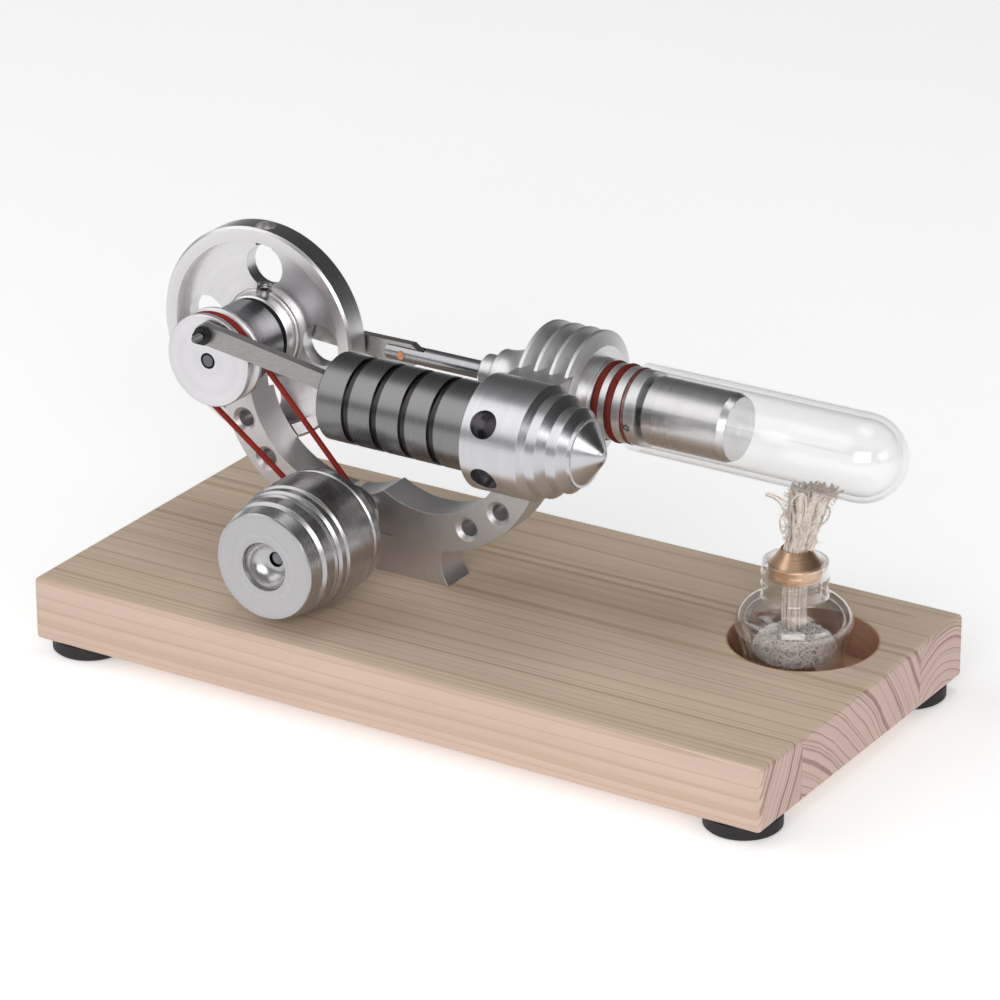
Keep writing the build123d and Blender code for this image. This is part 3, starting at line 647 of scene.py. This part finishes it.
def make_bottle(material):
    """Small lamp bottle: pressed glass with a hollowed base, a round belly and a coarse thread on its neck."""
    low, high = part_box("lamp_bottle")
    foot = Vector(((low.x + high.x) / 2, (low.y + high.y) / 2, low.z))
    outside = [(0.0, 0.9), (3.0, 0.8), (5.6, 0.45), (7.3, 0.0), (8.9, 0.0), (10.0, 0.55), (11.0, 1.9), (11.75, 4.0),
               (12.4, 6.2), (13.0, 8.4), (13.5, 10.3), (13.85, 12.0), (14.02, 13.4), (13.9, 14.9), (13.35, 16.4),
               (12.3, 17.7), (11.1, 18.75), (9.7, 19.5), (8.5, 19.9), (8.0, 20.2), (7.75, 20.6), (7.6, 21.0)]
    neck = [(7.6, 21.0 + 0.2 * i) for i in range(1, 37)]
    lip = [(7.7, 28.5), (7.88, 28.8), (7.88, 29.3), (7.65, 29.65), (7.2, 29.75), (6.7, 29.7), (6.4, 29.4)]
    inside = [(6.35, 28.6), (6.35, 24.0), (6.35, 20.8), (6.7, 19.7), (8.3, 18.7), (10.1, 17.6), (11.4, 16.4),
              (12.25, 15.0), (12.6, 13.4), (12.5, 12.0), (12.15, 9.9), (11.6, 7.3), (10.95, 5.2), (10.1, 3.4),
              (8.9, 2.3), (7.0, 1.9), (4.5, 2.3), (2.0, 2.6), (0.0, 2.65)]

    def thread(radius, height, angle):
        bead = 0.0
        for turn in range(2):
            ridge = 21.9 + 3.0 * (turn + angle / (2 * math.pi))
            fade = min(1.0, max(0.0, (turn + angle / (2 * math.pi)) * 4), max(0.0, (2 - turn - angle / (2 * math.pi)) * 4))
            bead += 0.6 * fade * math.exp(-((height - ridge) / 0.55) ** 2)
        wave = 0.02 * math.sin(3 * angle + height)
        return radius + (bead if 7.5 < radius < 7.7 and height > 20.8 else 0.0) + (wave if radius > 1 else 0.0)

    verts, faces = lathe("lamp_glass", outside + neck + lip + inside, 128, thread)
    bottle = mesh_object("bottle_glass", [foot + v for v in verts], faces)
    return place_piece(bottle, "lamp", "lamp_bottle", material)


def make_crank_stud(material):
    """Threaded stud in place of the power crank pin: rolled thread where it shows, plain in the rod's eye."""
    low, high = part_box("power_crank_pin")
    centre = (low + high) / 2
    radius = (high.x - low.x) / 2 / MM
    length = (high.y - low.y) / MM
    outline = [(0.0, 0.0), (0.55 * radius, 0.0), (0.8 * radius, 0.12)]
    rows = 64
    for i in range(rows):
        y = 0.2 + 3.4 * i / (rows - 1)
        outline.append((radius * (0.88 + 0.11 * math.cos(2 * math.pi * y / 0.4)), y))
    outline += [(0.98 * radius, 3.8), (0.98 * radius, length), (0.0, length)]
    verts, faces = lathe("stud", outline, 40)
    laid = Matrix.Rotation(math.radians(-90), 3, "X")
    start = Vector((centre.x, low.y, centre.z))
    stud = mesh_object("crank_stud", [start + laid @ v for v in verts], faces)
    return place_piece(stud, "power_rod", "power_crank_pin", material)


# ---------------------------------------------------------------- materials on the CAD nodes


def dress(material, *nodes):
    for name in nodes:
        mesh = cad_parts[name].data
        mesh.materials.clear()
        mesh.materials.append(material)


STEEL = (0.56, 0.55, 0.56)

dress(board_wood(), "base_board")
dress(rubber("foot_rubber", (0.018, 0.016, 0.016), 0.6, 3.0), "foot_pads")
dress(blasted_metal("blasted_aluminium", (0.69, 0.67, 0.67)), "frame_plate")
dress(brushed_metal("black_oxide_screws", (1, 1, 1), (0.05, 0.05, 0.052), 0.4), "frame_screws", "power_crank_nut")
dress(turned_metal("housing_steel", crank_axis, 1, (0.27, 0.265, 0.28), 0.26, grip=0.3), "crank_bearing_housing")
dress(turned_metal("crank_bearing_steel", crank_axis, 1, STEEL, 0.2), "crank_bearings")
dress(turned_metal("shaft_end_steel", crank_axis, 1, (0.17, 0.17, 0.185), 0.35), "crankshaft")
# The crank disc gets a painted black shade ring round the shaft's end.
dress(turned_metal("crank_disc_aluminium", crank_axis, 1, (0.75, 0.735, 0.755), 0.36, grip=0.45, bore_shade=2.04), "crank_pulley")
dress(turned_metal("flywheel_aluminium", crank_axis, 1, (0.73, 0.715, 0.725), 0.27, grip=0.6), "flywheel")
dress(brushed_metal("fibre_washer", (1, 1, 1), (0.02, 0.02, 0.02), 0.5), "crank_spacer")
dress(brushed_metal("set_screw_steel", (1, 1, 1), (0.45, 0.44, 0.43), 0.25), "flywheel_set_screw")
dress(dark_cylinder_metal("dark_cylinder_steel", power_axis), "power_cylinder", "power_piston")
dress(turned_metal("head_aluminium", power_axis, 0, (0.61, 0.605, 0.63), 0.22, line=0.3, depth=0.001, grip=0.35, edge=0.06,
                   streak=0.03), "power_cylinder_head")
dress(turned_metal("sink_aluminium", hot_axis, 0, (0.74, 0.735, 0.735), 0.34, line=0.22, grip=0.4), "heat_sink")
dress(turned_metal("displacer_aluminium", hot_axis, 0, (0.67, 0.655, 0.655), 0.27, grip=0.4), "displacer")
dress(turned_metal("rod_steel", hot_axis, 0, (0.42, 0.415, 0.43), 0.22, grip=0.2), "displacer_rod")
# The drum gets a painted black shade ring round its axle's end.
dress(turned_metal("drum_aluminium", drum_axis, 1, (0.50, 0.49, 0.50), 0.24, line=0.2, grip=0.3, bore_shade=1.95), "drum", "drum_pulley")
dress(turned_metal("drum_bearing_steel", drum_axis, 1, (0.20, 0.20, 0.215), 0.3), "drum_bearings", "drum_axle")
dress(turned_metal("holder_brass", lamp_axis, 2, (0.76, 0.50, 0.33), 0.28), "wick_holder")
dress(turned_metal("bush_brass", hot_axis, 0, (0.70, 0.45, 0.22), 0.3), "guide_bush")
dress(turned_metal("fork_pin_brass", middle("fork_pin"), 1, (0.72, 0.33, 0.18), 0.3), "fork_pin")
dress(brushed_metal("ground_rod_steel", (0.12, 1, 1), (0.40, 0.39, 0.38), 0.3), "power_con_rod")
dress(brushed_metal("link_steel", (0.12, 1, 1), (0.56, 0.55, 0.54), 0.26), "displacer_con_rod")
dress(brushed_metal("pin_steel", (1, 1, 1), (0.55, 0.54, 0.54), 0.2), "wrist_pin", "displacer_crank_pin")
dress(rubber("red_silicone", (0.17, 0.016, 0.010), 0.5, 2.0, 0.18), "tube_seals")
dress(rubber("red_belt", (0.30, 0.022, 0.012), 0.5, 2.0, 0.15), "drive_belt")
dress(clear_glass("tube_glass", (0.80, 0.80, 0.84), 4.5), "glass_tube")

make_wick(cotton_yarn("cotton_yarn", (0.60, 0.51, 0.44), (0.82, 0.76, 0.70)))
make_cotton(cotton_yarn("loose_cotton", (0.80, 0.71, 0.65), (0.95, 0.92, 0.90)))
make_bottle(clear_glass("lamp_glass", (0.92, 0.90, 0.88), 1.9))
make_crank_stud(brushed_metal("stud_steel", (1, 1, 1), (0.20, 0.195, 0.20), 0.3))


# ---------------------------------------------------------------- floor, light, camera


def make_floor():
    size = 4.0
    floor = mesh_object("floor", [(-size, -size, 0), (size, -size, 0), (size, size, 0), (-size, size, 0)], [(0, 1, 2, 3)])
    floor.location.z = -0.0002
    shader = Shader("pale_floor")
    grain = shader.noise(shader.place(), 0.02, 2.0, 0.5)
    tone = shader.mix(grain, (0.94, 0.94, 0.94), (0.96, 0.96, 0.96))
    floor.data.materials.append(
        shader.finish(Base_Color=tone, Roughness=0.8, Emission_Color=(1.0, 1.0, 1.0), Emission_Strength=0.34))


def area_light(name, place, aim, size, power, colour=(1, 1, 1)):
    data = bpy.data.lights.new(name, "AREA")
    data.shape = "RECTANGLE"
    data.size, data.size_y = size
    data.energy = power
    data.color = colour
    lamp = bpy.data.objects.new(name, data)
    bpy.context.scene.collection.objects.link(lamp)
    lamp.location = place
    lamp.rotation_mode = "QUATERNION"
    lamp.rotation_quaternion = (Vector(aim) - Vector(place)).to_track_quat("-Z", "Y")
    return lamp


def make_world():
    """A pale studio, dimmer overhead and towards the back right, so that round metal shows light and dark."""
    world = bpy.data.worlds.new("studio")
    bpy.context.scene.world = world
    world.use_nodes = True
    tree = world.node_tree
    tree.nodes.clear()
    out = tree.nodes.new("ShaderNodeOutputWorld")
    light = tree.nodes.new("ShaderNodeBackground")
    coords = tree.nodes.new("ShaderNodeTexCoord")
    split = tree.nodes.new("ShaderNodeSeparateXYZ")
    ramp = tree.nodes.new("ShaderNodeValToRGB")
    lift = tree.nodes.new("ShaderNodeMapRange")
    tree.links.new(coords.outputs["Generated"], split.inputs[0])
    tree.links.new(split.outputs[2], lift.inputs[0])
    lift.inputs[1].default_value = -1.0
    lift.inputs[2].default_value = 1.0
    tree.links.new(lift.outputs[0], ramp.inputs[0])
    stops = [
        (0.0, 0.5),
        (0.49, 0.5),
        (0.54, 0.36),
        (0.64, 0.24),
        (0.78, 0.17),
        (1.0, 0.25),
    ]
    points = ramp.color_ramp.elements
    while len(points) < len(stops):
        points.new(0.5)
    for point, (place, value) in zip(points, stops):
        point.position = place
        point.color = (value, value, value, 1)
    side = tree.nodes.new("ShaderNodeVectorMath")
    side.operation = "DOT_PRODUCT"
    tree.links.new(coords.outputs["Generated"], side.inputs[0])
    side.inputs[1].default_value = (0.62, 0.78, 0.0)
    shade = tree.nodes.new("ShaderNodeMapRange")
    tree.links.new(side.outputs["Value"], shade.inputs[0])
    for socket, value in zip(shade.inputs[1:5], (-0.1, 0.5, 1.0, 0.3)):
        socket.default_value = value
    shaded = tree.nodes.new("ShaderNodeMix")
    shaded.data_type, shaded.blend_type = "RGBA", "MULTIPLY"
    shaded.inputs[0].default_value = 1.0
    tree.links.new(ramp.outputs[0], shaded.inputs[6])
    tree.links.new(shade.outputs[0], shaded.inputs[7])
    tree.links.new(shaded.outputs[2], light.inputs[0])
    light.inputs[1].default_value = 1.0
    tree.links.new(light.outputs[0], out.inputs[0])


def make_camera():
    """A long lens from the front right, at the height of a person leaning over the table."""
    aim = Vector((-0.02926, 0.04949, board_high.z))
    place = Vector((0.58349, -0.93437, 0.51739))
    data = bpy.data.cameras.new("camera")
    data.lens = 182.515
    data.sensor_width = 36.0
    data.clip_start, data.clip_end = 0.01, 100.0
    camera = bpy.data.objects.new("camera", data)
    bpy.context.scene.collection.objects.link(camera)
    camera.rotation_mode = "QUATERNION"
    level = (aim - place).to_track_quat("-Z", "Y").to_matrix()
    roll = Matrix.Rotation(math.radians(-0.132), 3, "Z")
    camera.rotation_quaternion = (level @ roll).to_quaternion()
    camera.location = place
    bpy.context.scene.camera = camera


make_floor()
make_world()
make_camera()
area_light("key_left", (-1.35, -0.8, 1.3), (0, 0, 0.05), (2.2, 1.8), 16)
area_light("front_right", (0.8, -1.5, 0.8), (0, 0, 0.05), (1.5, 0.9), 18)
area_light("right_fill", (1.7, -0.1, 0.6), (0.05, 0, 0.03), (0.9, 0.5), 4)
area_light("top", (0.1, 0.3, 1.8), (0, 0, 0), (1.0, 0.8), 5)

scene = bpy.context.scene
scene.view_settings.view_transform = "Standard"
scene.view_settings.look = "None"
